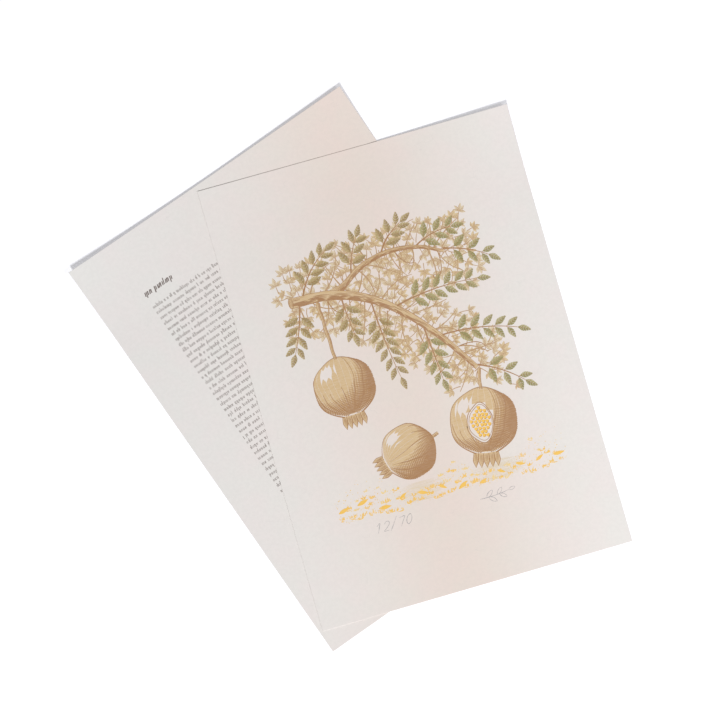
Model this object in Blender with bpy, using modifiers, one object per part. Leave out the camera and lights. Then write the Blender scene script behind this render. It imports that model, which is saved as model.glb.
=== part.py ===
"""An art print on heavy paper, lying on the loose text sheet that belongs with it.

Metres, +Z up, with the table at Z = 0 and the origin in the middle of the area that the two
sheets cover. The print is square to the axes, with its top edge towards +Y. The text sheet is
under it, turned a little to the left. Both curl up slightly along their top edges. The printed
design, a fruiting branch, is a set of thin plates just over the flat middle of the print.
"""

import math
import random

import bmesh
import bpy
from mathutils import Vector

# The two sheets
PRINT_WIDTH, PRINT_HEIGHT = 0.350, 0.495
TEXT_WIDTH, TEXT_HEIGHT = 0.356, 0.499
PAPER_THICKNESS = 0.0006
SHEET_GAP = 0.0003
PRINT_BASE = PAPER_THICKNESS + SHEET_GAP
TEXT_TURN = 18.9
TEXT_OFFSET = Vector((-0.0828, 0.0218))

# How far each top edge curls up: at its left end, its lowest place and its right end, with the
# share of its width where it is lowest, and the depth of sheet over which the curl dies out
PRINT_CURL, PRINT_CURL_DEPTH = (0.0007, 0.0, 0.0045, 0.35), 0.094
TEXT_CURL, TEXT_CURL_DEPTH = (0.0070, 0.0022, 0.0042, 0.60), 0.100
COLUMNS, FLAT_ROWS, CURL_ROWS = 12, 6, 8

# The printed plates, and the uncut line left between two that meet
PLATE_THICKNESS = 0.0002
PLATE_GAP = 0.0003
PLATE_BASE = PRINT_BASE + PAPER_THICKNESS + PLATE_GAP
CUT_GAP = 0.0014

# The limbs, in the print's own plane, from its lower left corner: places, thick end, thin end
LIMBS = (
    (((0.064, 0.350), (0.104, 0.348), (0.144, 0.334), (0.180, 0.307), (0.212, 0.270), (0.240, 0.228)),
     0.0110, 0.0045),
    (((0.123, 0.3525), (0.150, 0.369), (0.182, 0.376), (0.214, 0.372), (0.240, 0.360)), 0.0062, 0.0030),
)
LIMB_STEPS = 5

# Leaf sprays: limb, share along it, side, lean from it, length, bend outwards, pairs of leaves
SPRAYS = (
    (0, 0.10, 1, 66, 0.052, -34, 4),
    (0, 0.04, -1, 104, 0.050, 12, 4),
    (0, 0.27, -1, 70, 0.038, -4, 3),
    (0, 0.45, -1, 56, 0.084, -8, 6),
    (0, 0.56, 1, 54, 0.090, -20, 6),
    (0, 0.70, -1, 34, 0.056, 2, 4),
    (0, 0.79, 1, 54, 0.080, -22, 5),
    (0, 1.00, 1, 34, 0.052, -22, 3),
    (1, 0.16, 1, 44, 0.036, -20, 3),
    (1, 0.46, 1, 50, 0.036, -30, 3),
    (1, 0.74, 1, 44, 0.040, -30, 3),
    (1, 1.00, 1, 14, 0.048, -22, 3),
)
TWIG_THICK, TWIG_THIN = 0.0024, 0.0010
FIRST_PAIR, LAST_PAIR = 0.20, 0.86
LEAF_LENGTH, LEAF_WIDTH, LEAF_STALK = 0.0205, 0.0082, 0.0010
LAST_LEAF, TIP_LEAF = 0.74, 0.80
FIRST_SPREAD, LAST_SPREAD = 52, 38
LEAF_PROFILE = ((0.16, 0.46), (0.40, 1.0), (0.72, 0.66))

# Fruits: middle, radius, the way the crown points, length of the stalk on the far side
FRUITS = (
    ((0.095, 0.247), 0.0335, -88, 0.0608),
    ((0.230, 0.170), 0.0370, -101, 0.0186),
    ((0.143, 0.161), 0.0300, 196, 0.0060),
)
FRUIT_STEPS = 20
FRUIT_LOBES, FRUIT_LOBE_DEPTH = 6, 0.018
STALK_WIDTH = 0.0034
CROWN_TEETH = 5
CROWN_HALF_ANGLE, CROWN_HALF_WIDTH = 17, 0.30
CROWN_TIP, CROWN_NOTCH = 1.34, 1.16

# Petals strewn along the ground, from the first place to the last
PETALS = 12
PETAL_ROW = (Vector((0.058, 0.119)), Vector((0.300, 0.111)))
PETAL_LENGTH, PETAL_WIDTH, PETAL_TAPER = 0.0120, 0.0046, 0.35
PETAL_CORNERS = 10
PETAL_RISE, PETAL_LEAN, PETAL_SCALE = (-0.008, 0.004), 35, (0.80, 1.25)
PETAL_SEED = 5

# Colours, linear
PRINT_PAPER = (0.790, 0.735, 0.700)
TEXT_PAPER = (0.780, 0.760, 0.735)
BROWN_INK = (0.430, 0.255, 0.135)
TAN_INK = (0.640, 0.450, 0.270)
OLIVE_INK = (0.300, 0.285, 0.120)
GOLD_INK = (0.830, 0.560, 0.130)
PAPER_ROUGHNESS, INK_ROUGHNESS = 0.85, 0.60


def clear_scene():
    for item in list(bpy.data.objects):
        bpy.data.objects.remove(item, do_unlink=True)


def new_material(name, colour, roughness):
    material = bpy.data.materials.new(name)
    material.use_nodes = True
    shader = material.node_tree.nodes["Principled BSDF"]
    shader.inputs["Base Color"].default_value = (*colour, 1.0)
    shader.inputs["Roughness"].default_value = roughness
    shader.inputs["Metallic"].default_value = 0.0
    return material


def direction(degrees):
    return Vector((math.cos(math.radians(degrees)), math.sin(math.radians(degrees))))


def left_of(way):
    return Vector((-way.y, way.x))


def mix(low, high, share):
    return low + (high - low) * share


# Sheets

def edge_rise(share, left, low, right, low_place):
    """How high a top edge stands at a share of its width."""
    share = min(max(share, 0.0), 1.0)
    if share < low_place:
        return mix(low, left, (1.0 - share / low_place) ** 2)
    return mix(low, right, ((share - low_place) / (1.0 - low_place)) ** 2)


def curl(distance, depth):
    """1 at the top edge, easing to 0 where the sheet lies flat."""
    return min(max(1.0 - distance / depth, 0.0), 1.0) ** 2


def text_lift(u, v):
    return edge_rise(u / TEXT_WIDTH, *TEXT_CURL) * curl(TEXT_HEIGHT - v, TEXT_CURL_DEPTH)


def print_lift(u, v):
    """The print's own curl, on top of the curl of the text sheet that it lies on."""
    place = Vector((u - PRINT_WIDTH / 2, v - PRINT_HEIGHT / 2)) - TEXT_OFFSET
    across = direction(TEXT_TURN)
    text_place = (place.dot(across) + TEXT_WIDTH / 2, place.dot(left_of(across)) + TEXT_HEIGHT / 2)
    own = edge_rise(u / PRINT_WIDTH, *PRINT_CURL) * curl(PRINT_HEIGHT - v, PRINT_CURL_DEPTH)
    return own + text_lift(*text_place)


def sheet(name, width, height, curl_depth, base, lift, holder, material, collection):
    """A sheet as the surface of its underside, with short rows where its top edge curls."""
    flat = height - curl_depth
    rows = [flat * row / FLAT_ROWS for row in range(FLAT_ROWS)]
    rows += [flat + curl_depth * row / CURL_ROWS for row in range(CURL_ROWS + 1)]
    mesh = bpy.data.meshes.new(name)
    shape = bmesh.new()
    bmesh.ops.create_grid(shape, x_segments=COLUMNS, y_segments=len(rows) - 1, size=0.5)
    for vertex in shape.verts:
        u = (vertex.co.x + 0.5) * width
        v = rows[round((vertex.co.y + 0.5) * (len(rows) - 1))]
        vertex.co = (u, v, base + lift(u, v))
    shape.to_mesh(mesh)
    shape.free()
    item = bpy.data.objects.new(name, mesh)
    item.parent = holder
    wall = item.modifiers.new("Thickness", "SOLIDIFY")
    wall.thickness = PAPER_THICKNESS
    wall.offset = 1.0
    mesh.materials.append(material)
    collection.objects.link(item)


def sheet_corner(name, middle, turn, width, height, collection):
    """An empty at a sheet's lower left corner, turned as the sheet is."""
    corner = middle - direction(turn) * (width / 2) - left_of(direction(turn)) * (height / 2)
    holder = bpy.data.objects.new(name, None)
    holder.location = (corner.x, corner.y, 0.0)
    holder.rotation_euler = (0.0, 0.0, math.radians(turn))
    collection.objects.link(holder)
    return holder


def covered_middle():
    """The middle of the area under both sheets, seen from the print's middle."""
    corners = []
    for x in (-0.5, 0.5):
        for y in (-0.5, 0.5):
            corners.append(Vector((x * PRINT_WIDTH, y * PRINT_HEIGHT)))
            across = direction(TEXT_TURN) * (x * TEXT_WIDTH)
            up = left_of(direction(TEXT_TURN)) * (y * TEXT_HEIGHT)
            corners.append(TEXT_OFFSET + across + up)
    low = Vector((min(c.x for c in corners), min(c.y for c in corners)))
    high = Vector((max(c.x for c in corners), max(c.y for c in corners)))
    return (low + high) / 2


# Printed plates

def plate(name, outline, holder, material, collection):
    """A flat outline as a thin plate over the print."""
    curve = bpy.data.curves.new(name, "CURVE")
    curve.dimensions = "2D"
    curve.fill_mode = "BOTH"
    curve.extrude = PLATE_THICKNESS / 2
    line = curve.splines.new("POLY")
    line.points.add(len(outline) - 1)
    for point, place in zip(line.points, outline):
        point.co = (place.x, place.y, 0.0, 1.0)
    line.use_cyclic_u = True
    curve.materials.append(material)
    item = bpy.data.objects.new(name, curve)
    item.parent = holder
    item.location = (0.0, 0.0, PLATE_BASE + PLATE_THICKNESS / 2)
    collection.objects.link(item)


def smooth_path(points):
    """A Catmull-Rom curve through the points, as a list of places."""
    nodes = [Vector(point) for point in points]
    nodes = [2 * nodes[0] - nodes[1]] + nodes + [2 * nodes[-1] - nodes[-2]]
    path = []
    for a, b, c, d in zip(nodes, nodes[1:], nodes[2:], nodes[3:]):
        for step in range(LIMB_STEPS):
            t = step / LIMB_STEPS
            pull = (c - a) * t + (2 * a - 5 * b + 4 * c - d) * t ** 2 + (3 * b - a - 3 * c + d) * t ** 3
            path.append(b + pull / 2)
    path.append(nodes[-2])
    return path


def path_heading(path, index):
    before = path[max(index - 1, 0)]
    after = path[min(index + 1, len(path) - 1)]
    return (after - before).normalized()


def limb_outline(points, thick, thin):
    path = smooth_path(points)
    right, left = [], []
    for index, place in enumerate(path):
        half = mix(thick, thin, index / (len(path) - 1)) / 2
        across = left_of(path_heading(path, index)) * half
        right.append(place - across)
        left.append(place + across)
    return right + left[::-1]


def spray_foot(limb, along, side, lean):
    """Where a spray starts, clear of its limb's edge, and the way it heads, in degrees."""
    points, thick, thin = LIMBS[limb]
    path = smooth_path(points)
    index = round(along * (len(path) - 1))
    heading = path_heading(path, index)
    clear = mix(thick, thin, along) / 2 + CUT_GAP
    base = path[index] + left_of(heading) * (side * clear)
    return base, math.degrees(math.atan2(heading.y, heading.x)) + side * lean


def along_arc(base, heading, length, bend, share):
    """A place part of the way along an arc that turns by bend degrees in all."""
    half_turn = math.radians(bend * share / 2)
    chord = length * share
    if half_turn:
        chord *= math.sin(half_turn) / half_turn
    return base + direction(heading + bend * share / 2) * chord


def leaf_loop(base, way, length, width):
    """Out along the right side of a leaf, round its tip and back along its left side."""
    across = left_of(way) / 2
    right = [base - across * LEAF_STALK]
    left = [base + across * LEAF_STALK]
    for along, share in LEAF_PROFILE:
        spine = base + way * (length * along)
        right.append(spine - across * (width * share))
        left.append(spine + across * (width * share))
    return right + [base + way * length] + left[::-1]


def spray_outline(base, heading, length, bend, pairs):
    """A twig with leaves in pairs and one at its tip, walked round as a single outline."""
    def side_leaf(share, side):
        angle = heading + bend * share
        edge = left_of(direction(angle)) * (side * mix(TWIG_THICK, TWIG_THIN, share) / 2)
        way = direction(angle + side * mix(FIRST_SPREAD, LAST_SPREAD, share))
        size = mix(1.0, LAST_LEAF, share)
        foot = along_arc(base, heading, length, bend, share) + edge
        return leaf_loop(foot, way, LEAF_LENGTH * size, LEAF_WIDTH * size)

    half_foot = left_of(direction(heading)) * (TWIG_THICK / 2)
    shares = [mix(FIRST_PAIR, LAST_PAIR, pair / (pairs - 1)) for pair in range(pairs)]
    tip = along_arc(base, heading, length, bend, 1.0)
    outline = [base - half_foot]
    for share in shares:
        outline += side_leaf(share, -1)
    outline += leaf_loop(tip, direction(heading + bend), LEAF_LENGTH * TIP_LEAF, LEAF_WIDTH * TIP_LEAF)
    for share in reversed(shares):
        outline += side_leaf(share, 1)
    return outline + [base + half_foot]


def fruit_outline(middle, radius, crown, stalk):
    """A lobed round with a toothed crown, and a stalk on the far side."""
    middle = Vector(middle)
    crown_way = direction(crown)
    across = left_of(crown_way)

    def side(first, last):
        places = []
        for step in range(FRUIT_STEPS + 1):
            angle = mix(first, last, step / FRUIT_STEPS)
            lobe = 1.0 + FRUIT_LOBE_DEPTH * math.cos(math.radians(FRUIT_LOBES * angle))
            places.append(middle + direction(crown + angle) * (radius * lobe))
        return places

    half_stalk = math.degrees(STALK_WIDTH / 2 / radius)
    stalk_end = middle - crown_way * (radius + stalk)
    outline = side(CROWN_HALF_ANGLE, 180 - half_stalk)
    outline += [stalk_end + across * (STALK_WIDTH / 2), stalk_end - across * (STALK_WIDTH / 2)]
    outline += side(180 + half_stalk, 360 - CROWN_HALF_ANGLE)
    for corner in range(2 * CROWN_TEETH - 1):
        reach = CROWN_NOTCH if corner % 2 else CROWN_TIP
        aside = mix(-CROWN_HALF_WIDTH, CROWN_HALF_WIDTH, corner / (2 * CROWN_TEETH - 2))
        outline.append(middle + (crown_way * reach + across * aside) * radius)
    return outline


def petal_outline(middle, way, length, width):
    outline = []
    for corner in range(PETAL_CORNERS):
        turn = math.tau * corner / PETAL_CORNERS
        half_width = width / 2 * (1.0 - PETAL_TAPER * math.cos(turn))
        aside = left_of(way) * (math.sin(turn) * half_width)
        outline.append(middle + way * (math.cos(turn) * length / 2) + aside)
    return outline


def strewn_petals():
    """Outlines of the petals, each at its own height, lean and size."""
    chance = random.Random(PETAL_SEED)
    for number in range(PETALS):
        middle = PETAL_ROW[0].lerp(PETAL_ROW[1], number / (PETALS - 1))
        middle.y += chance.uniform(*PETAL_RISE)
        way = direction(chance.uniform(-PETAL_LEAN, PETAL_LEAN))
        size = chance.uniform(*PETAL_SCALE)
        yield petal_outline(middle, way, PETAL_LENGTH * size, PETAL_WIDTH * size)


def main():
    clear_scene()
    collection = bpy.data.collections.new("art_print")
    bpy.context.scene.collection.children.link(collection)
    print_middle = -covered_middle()
    print_corner = sheet_corner("print_corner", print_middle, 0.0, PRINT_WIDTH, PRINT_HEIGHT, collection)
    text_corner = sheet_corner("text_corner", print_middle + TEXT_OFFSET, TEXT_TURN,
                               TEXT_WIDTH, TEXT_HEIGHT, collection)

    paper = new_material("print_paper", PRINT_PAPER, PAPER_ROUGHNESS)
    sheet("print_sheet", PRINT_WIDTH, PRINT_HEIGHT, PRINT_CURL_DEPTH, PRINT_BASE, print_lift,
          print_corner, paper, collection)
    paper = new_material("text_paper", TEXT_PAPER, PAPER_ROUGHNESS)
    sheet("text_sheet", TEXT_WIDTH, TEXT_HEIGHT, TEXT_CURL_DEPTH, 0.0, text_lift,
          text_corner, paper, collection)

    ink = new_material("brown_ink", BROWN_INK, INK_ROUGHNESS)
    for number, limb in enumerate(LIMBS, 1):
        plate(f"printed_limb_{number}", limb_outline(*limb), print_corner, ink, collection)
    ink = new_material("olive_ink", OLIVE_INK, INK_ROUGHNESS)
    for number, (limb, along, side, lean, length, bend, pairs) in enumerate(SPRAYS, 1):
        base, heading = spray_foot(limb, along, side, lean)
        outline = spray_outline(base, heading, length, side * bend, pairs)
        plate(f"printed_spray_{number:02d}", outline, print_corner, ink, collection)
    ink = new_material("tan_ink", TAN_INK, INK_ROUGHNESS)
    for number, fruit in enumerate(FRUITS, 1):
        plate(f"printed_fruit_{number}", fruit_outline(*fruit), print_corner, ink, collection)
    ink = new_material("gold_ink", GOLD_INK, INK_ROUGHNESS)
    for number, outline in enumerate(strewn_petals(), 1):
        plate(f"printed_petal_{number:02d}", outline, print_corner, ink, collection)


main()
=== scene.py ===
"""The looks of an art print lying on its text sheet: heavy paper, printing inks, pencil, studio light.

Metres throughout, with MM for small sizes. A place on a sheet is given in the sheet's own plane,
from its lower left corner: u to the right, v up. A height is measured from the sheet's upper face.
The picture is cut like a woodcut: flat tones below, with swelling lines of a darker ink over them.
"""

import functools
import math
import random
from collections import namedtuple

import bmesh
import bpy
import numpy as np
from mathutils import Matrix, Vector


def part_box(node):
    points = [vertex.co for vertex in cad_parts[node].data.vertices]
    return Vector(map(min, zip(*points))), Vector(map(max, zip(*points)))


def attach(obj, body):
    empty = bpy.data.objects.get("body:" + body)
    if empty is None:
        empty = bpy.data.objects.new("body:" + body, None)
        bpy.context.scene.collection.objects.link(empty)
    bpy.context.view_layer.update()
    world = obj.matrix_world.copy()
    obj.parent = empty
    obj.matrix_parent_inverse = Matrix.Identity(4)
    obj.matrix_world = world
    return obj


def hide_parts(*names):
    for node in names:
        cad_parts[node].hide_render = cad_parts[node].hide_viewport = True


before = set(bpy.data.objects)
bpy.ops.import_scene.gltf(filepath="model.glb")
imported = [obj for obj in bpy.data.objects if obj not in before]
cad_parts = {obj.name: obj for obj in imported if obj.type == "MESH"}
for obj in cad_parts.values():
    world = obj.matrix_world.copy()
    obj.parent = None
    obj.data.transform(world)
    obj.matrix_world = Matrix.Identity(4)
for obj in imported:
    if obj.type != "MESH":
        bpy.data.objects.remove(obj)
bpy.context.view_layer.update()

MM = 0.001

# The sheets. A curl is how high the top edge stands at its left end, its lowest place and its right
# end, then the share of its width where it is lowest, and the power it rises by from there.
PAPER_THICKNESS, SHEET_GAP = 0.6 * MM, 0.3 * MM
TEXT_TURN = 18.9
PRINT_CURL, PRINT_CURL_DEPTH = (0.33 * MM, 0.0, 4.4 * MM, 0.54, 1.1), 94 * MM
TEXT_CURL, TEXT_CURL_DEPTH = (7.0 * MM, 2.5 * MM, 4.85 * MM, 0.55, 1.2), 100 * MM

# The print lies closer on the text sheet than its solid, which has to keep a gap
SETTLED = 0.27 * MM
PAPER_CELL = 5 * MM
EDGE_STRIP = 0.5 * MM
EDGE_ROUND = 0.2 * MM

# How far the films of ink stand over the paper, from the first one printed to the last, and how far
# they reach into it. Marks that may touch differ by a step, so that no two of their faces coincide.
BACK_FILM, BACK_LINE_FILM, TONE_FILM = 0.018 * MM, 0.038 * MM, 0.058 * MM
SHADE_FILM, LINE_FILM, DETAIL_FILM = 0.078 * MM, 0.098 * MM, 0.118 * MM
FILM_STEP, FILM_STEPS = 0.0005 * MM, 38
SUNK = 0.05 * MM
TOUCH = 4 * MM

# The limbs: places, thick end, thin end, as the solids have them
LIMBS = (
    (((0.064, 0.350), (0.104, 0.348), (0.144, 0.334), (0.180, 0.307), (0.212, 0.270), (0.240, 0.228)),
     0.0110, 0.0045),
    (((0.123, 0.3525), (0.150, 0.369), (0.182, 0.376), (0.214, 0.372), (0.240, 0.360)), 0.0062, 0.0030),
)
LIMB_STEPS = 5
CUT_GAP = 1.4 * MM

# Leaf sprays: limb, share along it, side, lean from it, length, bend outwards, pairs of leaves
SPRAYS = (
    (0, 0.10, 1, 66, 0.052, -34, 4),
    (0, 0.04, -1, 104, 0.050, 12, 4),
    (0, 0.27, -1, 70, 0.038, -4, 3),
    (0, 0.45, -1, 56, 0.084, -8, 6),
    (0, 0.56, 1, 54, 0.090, -20, 6),
    (0, 0.70, -1, 34, 0.056, 2, 4),
    (0, 0.79, 1, 54, 0.080, -22, 5),
    (0, 1.00, 1, 34, 0.052, -22, 3),
    (1, 0.16, 1, 44, 0.036, -20, 3),
    (1, 0.46, 1, 50, 0.036, -30, 3),
    (1, 0.74, 1, 44, 0.040, -30, 3),
    (1, 1.00, 1, 14, 0.048, -22, 3),
)
KHAKI_SPRAYS = (1, 2, 3, 4, 9, 10)
TWIG_THICK, TWIG_THIN = 2.4 * MM, 1.0 * MM
FIRST_PAIR, LAST_PAIR = 0.20, 0.86
LEAF_LENGTH, LEAF_WIDTH = 20.5 * MM, 8.2 * MM
LAST_LEAF, TIP_LEAF = 0.74, 0.80
FIRST_SPREAD, LAST_SPREAD = 52, 38
LEAF_PROFILE = ((0.0, 0.12), (0.16, 0.46), (0.40, 1.0), (0.72, 0.66), (1.0, 0.0))

# Fruits: middle, radius, the way the crown points, length of the stalk on the far side
FRUITS = (
    ((0.095, 0.247), 0.0335, -88, 0.0608),
    ((0.230, 0.170), 0.0370, -101, 0.0186),
    ((0.143, 0.161), 0.0300, 196, 0.0060),
)
OPEN_FRUIT = 1
FRUIT_LOBES, FRUIT_LOBE_DEPTH = 6, 0.018
STALK_WIDTH = 3.4 * MM
CROWN_TEETH, CROWN_HALF_WIDTH = 5, 0.30
CROWN_TIP, CROWN_NOTCH, CROWN_FOOT = 1.34, 1.16, 0.92

# Petals strewn along the ground, from the first place to the last
PETALS = 12
PETAL_ROW = ((0.058, 0.119), (0.300, 0.111))
PETAL_LENGTH, PETAL_WIDTH, PETAL_TAPER = 12.0 * MM, 4.6 * MM, 0.35
PETAL_RISE, PETAL_LEAN, PETAL_SCALE = (-8 * MM, 4 * MM), 35, (0.80, 1.25)
PETAL_SEED = 5

# The way towards the light in the picture: along u, along v, and towards the eye
PICTURE_LIGHT = np.array((-0.46, 0.60, 0.65))


def tint(red, green, blue):
    """A linear colour from its usual 0 to 255 values."""
    return np.array([((value / 255 + 0.055) / 1.055) ** 2.4 for value in (red, green, blue)])


# The paper: its colour, what a streak of painted warm light makes of that at the top and the foot
# of the print, darker at the foot as painted shade, and where the streak lies from the print's left edge
PAPER = tint(231.0, 229.2, 227.8)
PAINTED_LIGHT_TOP, PAINTED_LIGHT_FOOT = (0.990, 0.884, 0.823), (0.949, 0.851, 0.790)
PAINTED_LIGHT_MIDDLE, PAINTED_LIGHT_REACH = 165 * MM, 112 * MM
PINK_CLOUD, GREEN_CLOUD = (1.006, 0.987, 0.992), (0.986, 0.999, 0.994)
MOTTLE_SHADE, FIBRE_SHADE, SHADED_PAPER = 0.068, 0.16, 0.62
PAPER_ROUGHNESS, PAPER_GLOSS, PAPER_SHEEN = (0.82, 0.95), 0.3, 0.08

# The paper's grain: how fine each of its noises is, and how deep beside the felt
FELT_SCALE, WEAVE_SCALE, COCKLE_SCALE = 620.0, 210.0, 11.0
WEAVE_SHARE, COCKLE_SHARE, GRAIN_DEPTH = 0.7, 9.0, 0.022 * MM
CLOUD_SCALE, MOTTLE_SCALE, NOISE_RANGE = 26.0, 270.0, (0.30, 0.70)
FIBRE_SCALE, FIBRE_WIDTH, FIBRE_WARP_SCALE, FIBRE_WARP = 75.0, 0.016, 90.0, 0.012
FIBRE_PATCH_SCALE, FIBRE_PATCH = 46.0, (0.66, 0.70)

# Inks: colour, slot, share of the paper covered, share of wood grain, roughness
INKS = {
    "brown ink": (tint(168, 122, 75), "brown_ink", 0.93, 0.5, 0.6),
    "light tan ink": (tint(211, 181, 136), "tan_ink", 0.88, 0.8, 0.6),
    "middle tan ink": (tint(194, 157, 112), "tan_ink", 0.90, 0.8, 0.6),
    "pale tan ink": (tint(219, 201, 169), "tan_ink", 0.85, 0.5, 0.6),
    "golden tan ink": (tint(216, 192, 150), "tan_ink", 0.87, 0.5, 0.6),
    "line tan ink": (tint(184, 146, 102), "tan_ink", 0.90, 0.5, 0.6),
    "sage ink": (tint(174, 163, 110), "olive_ink", 0.90, 0.5, 0.6),
    "khaki ink": (tint(184, 163, 110), "olive_ink", 0.90, 0.5, 0.6),
    "deep sage ink": (tint(145, 136, 78), "olive_ink", 0.90, 0.5, 0.6),
    "deep khaki ink": (tint(154, 130, 75), "olive_ink", 0.90, 0.5, 0.6),
    "gold ink": (tint(243, 193, 76), "gold_ink", 0.92, 0.5, 0.6),
    "pale gold ink": (tint(240, 208, 134), "gold_ink", 0.85, 0.5, 0.6),
    "graphite": (tint(150, 148, 150), None, 0.62, 0.0, 0.45),
    "text ink": (tint(104, 88, 82), None, 0.93, 0.2, 0.6),
}

# How ink lies: its bare specks and worn patches, the wood grain of the printing block, how much paper
# shows through a thin film, and how much ink hazes the bare paper
SPECK_SCALE, WORN_SCALE, WORN_SHARE = 1500.0, 160.0, 0.35
BARE_LIMIT, COVER_SHARE, SPECK_EDGE = 1.02, 0.62, 0.05
BLOCK_TURN, BLOCK_STRETCH, BLOCK_SCALE, BLOCK_RANGE = math.radians(7), 14.0, 110.0, (0.35, 0.65)
FILM_CLOUD_SCALE = 34.0
THIN_FILM, INK_HAZE, FILM_BUMP = 0.16, 0.25, 0.5
BARE_ROUGHNESS, INK_GLOSS = 0.88, 0.15


# Shader node groups

def feed(tree, sockets, values):
    """Gives sockets their values by name, or links them to other nodes' outputs."""
    for name, value in values.items():
        if isinstance(value, bpy.types.NodeSocket):
            tree.links.new(value, sockets[name])
        else:
            sockets[name].default_value = value


def node(tree, kind, inputs=None, **settings):
    item = tree.nodes.new(kind)
    for name, value in settings.items():
        setattr(item, name, value)
    feed(tree, item.inputs, inputs or {})
    return item


def new_group(name, numbers, results):
    """A group that takes a place and some numbers, given with their defaults, and puts out numbers."""
    group = bpy.data.node_groups.new(name, "ShaderNodeTree")
    group.interface.new_socket("Place", in_out="INPUT", socket_type="NodeSocketVector")
    for label, value in numbers.items():
        socket = group.interface.new_socket(label, in_out="INPUT", socket_type="NodeSocketFloat")
        socket.default_value = value
    for label in results:
        group.interface.new_socket(label, in_out="OUTPUT", socket_type="NodeSocketFloat")
    return group, group.nodes.new("NodeGroupInput").outputs, group.nodes.new("NodeGroupOutput").inputs


def noise(tree, place, scale, detail=2.0, roughness=0.5):
    inputs = {"Vector": place, "Scale": scale, "Detail": detail, "Roughness": roughness}
    return node(tree, "ShaderNodeTexNoise", inputs).outputs["Fac"]


def map_range(tree, value, limits, easing="LINEAR"):
    """A value mapped by the limits given. The others are 0 and 1."""
    inputs = {"Value": value, **limits}
    return node(tree, "ShaderNodeMapRange", inputs, interpolation_type=easing).outputs["Result"]


def ramp(tree, value, low, high):
    """0 below low, 1 above high, eased between."""
    return map_range(tree, value, {"From Min": low, "From Max": high}, "SMOOTHSTEP")


def calc(tree, operation, first, second):
    return node(tree, "ShaderNodeMath", {0: first, 1: second}, operation=operation).outputs[0]


def plus_share(tree, base, value, share):
    return calc(tree, "ADD", base, calc(tree, "MULTIPLY", value, share))


def paper_grain_group():
    """The felt of heavy paper, its cloudy tint, its few stray fibres and a streak of painted light and
    shade.
    """
    group, given, out = new_group("paper grain", {"Felt Scale": FELT_SCALE},
                                  ("Height", "Cloud", "Mottle", "Fibre", "Painted Light", "Towards Foot"))
    place = given["Place"]
    height = noise(group, place, given["Felt Scale"], 3.0, 0.6)
    height = plus_share(group, height, noise(group, place, WEAVE_SCALE, 1.0), WEAVE_SHARE)
    height = plus_share(group, height, noise(group, place, COCKLE_SCALE, 0.0), COCKLE_SHARE)

    warp = node(group, "ShaderNodeTexNoise", {"Vector": place, "Scale": FIBRE_WARP_SCALE, "Detail": 1.0})
    bent = node(group, "ShaderNodeMix", {"Factor": FIBRE_WARP, 4: place, 5: warp.outputs["Color"]},
                data_type="VECTOR").outputs[1]
    cells = node(group, "ShaderNodeTexVoronoi", {"Vector": bent, "Scale": FIBRE_SCALE},
                 feature="DISTANCE_TO_EDGE").outputs["Distance"]
    hair = calc(group, "SUBTRACT", 1.0, ramp(group, cells, 0.0, FIBRE_WIDTH))
    here = ramp(group, noise(group, place, FIBRE_PATCH_SCALE, 0.0), *FIBRE_PATCH)

    # The streak of painted warm light: strongest at its middle and fading to both sides, plus a share
    # towards the print's foot, where the streak is painted darker as shade
    low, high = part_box("print_sheet")
    split = node(group, "ShaderNodeSeparateXYZ", {"Vector": place}).outputs
    away = calc(group, "DIVIDE", calc(group, "SUBTRACT", split["X"], low.x + PAINTED_LIGHT_MIDDLE), PAINTED_LIGHT_REACH)
    feed(group, out, {
        "Height": height,
        "Cloud": noise(group, place, CLOUD_SCALE, 2.0, 0.55),
        "Mottle": ramp(group, noise(group, place, MOTTLE_SCALE, 1.0, 0.6), *NOISE_RANGE),
        "Fibre": calc(group, "MULTIPLY", hair, here),
        "Painted Light": calc(group, "DIVIDE", 1.0, plus_share(group, 1.0, away, away)),
        "Towards Foot": map_range(group, split["Y"], {"From Min": high.y, "From Max": low.y}),
    })
    return group


def ink_lay_group():
    """How a film of ink lies on grainy paper: bare specks, the block's wood grain, uneven density."""
    group, given, out = new_group("ink lay", {"Coverage": 0.9, "Wood Grain": 0.5}, ("Inked", "Density"))
    place = given["Place"]
    specks = noise(group, place, SPECK_SCALE, 2.0, 0.65)
    worn = plus_share(group, specks, noise(group, place, WORN_SCALE, 2.0), WORN_SHARE)
    bare = calc(group, "SUBTRACT", BARE_LIMIT, calc(group, "MULTIPLY", given["Coverage"], COVER_SHARE))
    edges = [calc(group, operation, bare, SPECK_EDGE) for operation in ("SUBTRACT", "ADD")]

    along = node(group, "ShaderNodeMapping", {"Vector": place, "Rotation": (0.0, 0.0, BLOCK_TURN),
                                              "Scale": (1.0, BLOCK_STRETCH, 1.0)}).outputs["Vector"]
    grain = ramp(group, noise(group, along, BLOCK_SCALE, 3.0, 0.6), *BLOCK_RANGE)
    cloud = noise(group, place, FILM_CLOUD_SCALE, 2.0)
    mixed = node(group, "ShaderNodeMix", {"Factor": given["Wood Grain"], 2: cloud, 3: grain})
    feed(group, out, {"Inked": ramp(group, worn, *edges), "Density": mixed.outputs[0]})
    return group


PAPER_GRAIN = paper_grain_group()
INK_LAY = ink_lay_group()


# Materials

def new_material(name):
    """A material that has the paper's grain in it."""
    material = bpy.data.materials.new(name)
    material.use_nodes = True
    tree = material.node_tree
    place = node(tree, "ShaderNodeTexCoord").outputs["Object"]
    grain = node(tree, "ShaderNodeGroup", {"Place": place}, node_tree=PAPER_GRAIN).outputs
    return material, tree, place, grain


def mix_colour(tree, share, first, second, blend="MIX"):
    """Colours or colour sockets, mixed by a value or a socket."""
    inputs = {"Factor": share}
    for socket, colour in ((6, first), (7, second)):
        inputs[socket] = colour if isinstance(colour, bpy.types.NodeSocket) else (*colour, 1.0)
    return node(tree, "ShaderNodeMix", inputs, data_type="RGBA", blend_type=blend).outputs[2]


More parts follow.
